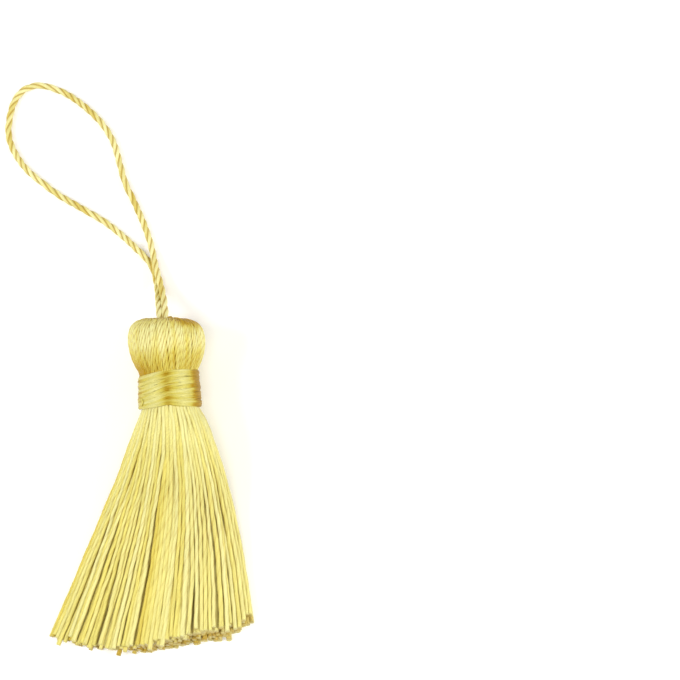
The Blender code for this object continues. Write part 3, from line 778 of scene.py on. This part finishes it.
def layYarns(look, chance):
    # where each yarn is at every station: (stations, yarns, x and z), and its place in the neck
    layers = np.arange(look["rootRadius"], 0.3, -look["ringSpacing"])
    inRing = [max(1, int(round(2 * np.pi * r / look["alongRing"]))) for r in layers]
    out = np.repeat(layers / look["rootRadius"], inRing)
    turns = np.concatenate([(np.arange(m) + chance.random()) / m for m in inRing])
    across, over = out * np.cos(2 * np.pi * turns), out * np.sin(2 * np.pi * turns)
    rim = np.sqrt(np.maximum(1 - across ** 2, 0))
    w = 0.5 + 0.5 * over / np.maximum(rim, 1e-6)
    jitter = chance.normal(size=len(out))
    eager = 0.3 + 0.7 * chance.random(len(out)) ** 2
    wave = chance.uniform(0, 2 * np.pi, 3)
    narrow, broad = look["lockWidths"]
    u = across
    rows = []
    for s in look["stations"]:
        past = max(s, 0.0) / 60.0
        half = float(halfWidth(s)) if s > 0 else look["rootRadius"] - 0.75
        goalX = (half - 0.5) * across + look["scatter"] * past * jitter
        lock = look["lock"] * past
        goalX = goalX + lock * np.sin(2 * np.pi * goalX / narrow + wave[0] + 0.03 * s)
        goalX = goalX + 0.8 * lock * np.sin(2 * np.pi * goalX / broad + wave[1] - 0.02 * s)
        top, low = outline(u, s)
        start = np.column_stack((half * u, low + w * (top - low)))
        goal = np.column_stack((goalX, np.zeros_like(goalX), w))
        placed = packed(start, goal, float(yarnGap(s)), half, s, eager) if s > 0 else start
        if s > 0:
            u = np.clip(placed[:, 0] / half, -1, 1)
            top, low = outline(u, s)
            w = np.clip((placed[:, 1] - low) / np.maximum(top - low, 0.2), 0, 1)
        rows.append(np.column_stack((middleLine(s) + placed[:, 0], placed[:, 1])))
    return np.stack(rows), across, u, w


def makeSkirt(look):
    # the yarns that show are two meshes, left and right, and those inside a third with fewer faces
    chance = np.random.default_rng(3)
    rows, across, u, level = layYarns(look, chance)
    n = len(across)
    # the cut: a curve across the skirt, sloped through the heap, more on the right
    (square, sixth), (plain, sixthRight) = look["upLeft"], look["upRight"]
    drop = np.where(u < 0, square * u ** 2 + sixth * u ** 6, plain * u + sixthRight * u ** 6)
    drop = drop - look["cutBulge"] * np.exp(-((u - 0.05) / 0.35) ** 2)
    slantHere = 0.12 + 0.88 * smooth((u + 0.65) / 1.2)
    rim = np.sqrt(np.maximum(1 - u ** 2, 0))
    cut = look["cut"] - drop - look["cutSlant"] * slantHere * level * (0.35 + 0.65 * rim)
    cut = cut + look["cutUneven"] * chance.normal(size=n) * (1 + 0.6 * smooth((-0.3 - u) / 0.4))
    cut = cut + np.where(chance.random(n) < look["longShare"], chance.uniform(*look["longBy"], n), 0.0)
    swayed = chance.uniform(9, 17, (n, 2))
    swayStart = chance.random((n, 2))
    tone = np.clip(look["tone"] + look["toneSpread"] * chance.normal(size=n), 0.15, 1)
    fuller = look["fuller"] * np.clip(chance.normal(size=(n, 1)), -1.5, 1.5)
    phase = 2 * np.pi * chance.random((n, 1))
    slant = 0.15 + 0.45 * slantHere
    # a few of the uppermost yarns lie across their neighbours from some way down
    upper = np.flatnonzero((level > 0.8) & (np.abs(u) < 0.8))
    strays = chance.choice(upper, look["strays"], replace=False)
    count = len(strays)
    strayBy, strayFrom = np.zeros((n, 1)), np.zeros((n, 1))
    strayBy[strays, 0] = look["strayShift"] * chance.uniform(0.6, 1.0, count) * chance.choice((-1, 1), count)
    strayFrom[strays, 0] = chance.uniform(8, 36, count)
    hidden = np.minimum(level, 1 - level) * rim
    order = np.argsort(hidden)
    seen = int(look["outerShare"] * n)
    shell, inner = order[:seen], order[seen:]
    left, right = np.array_split(shell[np.argsort(u[shell])], 2)

    def yarns(name, chosen, rings, corners):
        # s runs down each yarn to its own cut; x and z come from the stations, then sway, part and stray
        t = np.linspace(0, 1, rings)
        first = look["stations"][0]
        s = first + (cut[chosen, None] - first) * t[None, :]
        spots = np.stack([alongStations(rows[:, i], look["stations"], s[k]) for k, i in enumerate(chosen)])
        past = np.maximum(s, 0)
        sway = look["sway"] * smooth(past / 12.0)
        x = spots[..., 0] + sway * np.sin(2 * np.pi * (s / swayed[chosen, :1] + swayStart[chosen, :1]))
        z = spots[..., 1] + 0.5 * sway * np.sin(2 * np.pi * (s / swayed[chosen, 1:] + swayStart[chosen, 1:]))
        half = yarnHalf(s) * (1 + look["endFuller"] * smooth((s - cut[chosen, None] + 3.0) / 3.0))
        half = half * (1 + fuller[chosen] * smooth(past / 15.0))
        z = np.maximum(z, half * 0.98)
        reach = halfWidth(s)
        top, low = outline(np.clip((x - middleLine(s)) / reach, -1, 1), s)
        x = parted(x, s, (z - low) / np.maximum(top - low, 0.3))
        x = x + strayBy[chosen] * smooth((s - strayFrom[chosen]) / 26.0)
        topHere, _ = outline(np.clip((x - middleLine(s)) / reach, -1, 1), s)
        rested = topHere - top + look["strayLift"] * yarnGap(s)
        z = z + (strayBy[chosen] != 0) * rested * smooth((s - strayFrom[chosen]) / 9.0)
        turned = look["rootRadius"] * across[chosen, None] * math.sin(lean) * (1 - smooth(past / 15.0))
        paths = np.stack((x, head["neckEnd"][1] - s + turned, z), axis=2)
        up = np.zeros_like(paths)
        up[..., 2] = 1.0
        # painted light: paler near the neck and to the right
        tones = tone[chosen, None] + look["paintedLightAtNeck"] * (1 - smooth(s / 14.0))
        tones = tones + look["paintedLightRight"] * smooth((u[chosen, None] + 0.1) / 0.7)
        # how deep each yarn lies in the bundle, and which way is out of it
        deep = np.minimum(top - z, z - low + 0.4 * smooth(s / 30.0))
        # painted shade for yarns that lie deep in the bundle, then the strength of the groove and flank shade
        # along the skirt
        sunkShade = look["sunkShade"] * smooth((deep - 0.3) / 1.8)
        shadeStrength = look["shadeStrength"] + look["shadeStrengthDown"] * smooth((s - 3.0) / 24.0)
        shadeStrength = shadeStrength - look["shadeStrengthCut"] * smooth((s - 32.0) / 20.0)
        crown, _ = outline(0.0, s)
        away = np.stack(((x - middleLine(s)) / reach ** 2, np.zeros_like(x),
                         (z - 0.5 * (top + low)) / (0.5 * crown + 0.1) ** 2), axis=2)
        return twistedYarns(name, paths, up, half, half, look["plies"], look["lay"], phase[chosen],
                            np.clip(tones, 0, 1), corners, look["valley"], slant[chosen],
                            look["cutRough"], chance, unit(away), sunkShade, shadeStrength)

    pieces = [yarns("skirtOuterLeft", left, look["rings"], look["corners"]),
              yarns("skirtOuterRight", right, look["rings"], look["corners"]),
              yarns("skirtInside", inner, look["innerRings"], look["innerCorners"])]
    return pieces, n


skirtPieces, skirtYarns = makeSkirt(skirt)
for piece in skirtPieces:
    flattened(piece, 0.0)
    piece.data.materials.append(yarnSilk)
    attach(piece, "root")
    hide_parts("tassel_yarn")
print("tassel: skirt,", skirtYarns, "yarns")


# stage: pale floor, soft boxes left and right, and one above

stage = {
    "floor": "#FBFAF8", "floorRough": 0.9, "floorGloss": 0.1,
    "glow": "#FFFFFF", "glowStrength": 0.10,        # the paper is lit a little from below
    "world": "#FFFFFF", "worldStrength": 0.34,
    "half": 2.0, "under": 2e-5,     # half the floor's side, and how far it lies below the part, in metres
    "lookAt": (0.02, 0.02, 0.0),        # where the lights look
    # each light: place in metres, size, power
    "lights": {
        "leftBox": ((-0.72, 0.00, 0.66), 0.42, 5.4),
        "rightBox": ((0.92, 0.02, 0.54), 0.42, 6.6),
        "topBox": ((0.00, -0.16, 1.04), 0.50, 3.4),
    },
}
half, under = stage["half"], stage["under"]
floorMesh = bpy.data.meshes.new("floor")
floorMesh.from_pydata([(-half, -half, -under), (half, -half, -under), (half, half, -under),
                       (-half, half, -under)], [], [(0, 1, 2, 3)])
floor = bpy.data.objects.new("floor", floorMesh)
bpy.context.scene.collection.objects.link(floor)
# matt white studio paper: it throws soft light back and takes only a faint shadow
paper = bpy.data.materials.new("studioPaper")
paper.use_nodes = True
paperShader = paper.node_tree.nodes["Principled BSDF"]
paperShader.inputs["Base Color"].default_value = linear(stage["floor"])
paperShader.inputs["Roughness"].default_value = stage["floorRough"]
paperShader.inputs["Specular IOR Level"].default_value = stage["floorGloss"]
paperShader.inputs["Emission Color"].default_value = linear(stage["glow"])
paperShader.inputs["Emission Strength"].default_value = stage["glowStrength"]
floorMesh.materials.append(paper)
world = bpy.data.worlds.new("studio")
world.use_nodes = True
world.node_tree.nodes["Background"].inputs["Color"].default_value = linear(stage["world"])
world.node_tree.nodes["Background"].inputs["Strength"].default_value = stage["worldStrength"]
bpy.context.scene.world = world
for name, (place, size, power) in stage["lights"].items():
    light = bpy.data.lights.new(name, "AREA")
    light.energy = power
    light.size = size
    lamp = bpy.data.objects.new(name, light)
    lamp.location = place
    lamp.rotation_mode = "QUATERNION"
    lamp.rotation_quaternion = (Vector(stage["lookAt"]) - Vector(place)).to_track_quat("-Z", "Y")
    bpy.context.scene.collection.objects.link(lamp)
bpy.context.scene.view_settings.view_transform = "Standard"
print("tassel: stage ready")
